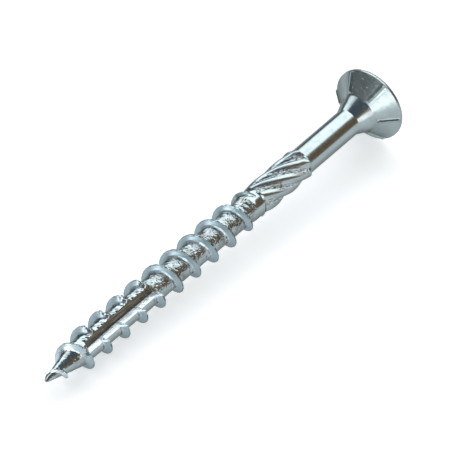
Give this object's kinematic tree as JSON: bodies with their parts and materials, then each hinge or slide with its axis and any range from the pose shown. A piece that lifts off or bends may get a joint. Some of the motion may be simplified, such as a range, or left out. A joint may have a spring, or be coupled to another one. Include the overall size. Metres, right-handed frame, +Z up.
{
  "type": "timber screw",
  "caption": "Countersunk timber screw with a coarse thread, a cut point, a ribbed reamer below a smooth shank, ribs under the head and a six-lobe socket.",
  "frame": {"origin": "centre of the bounding box, on the surface that the screw lies on", "axes": "+Z up from that surface, +X from the point towards the head; the screw's axis rises towards the head by 2.3 degrees, because it lies on the rim of its head and on its thread"},
  "size_m": [0.0802, 0.0118, 0.0119],
  "materials": {
    "zinc_plate": "bright blue-white zinc plate on rolled steel"
  },
  "bodies": {
    "root": {"timber_screw": "zinc_plate"}
  },
  "joints": []
}
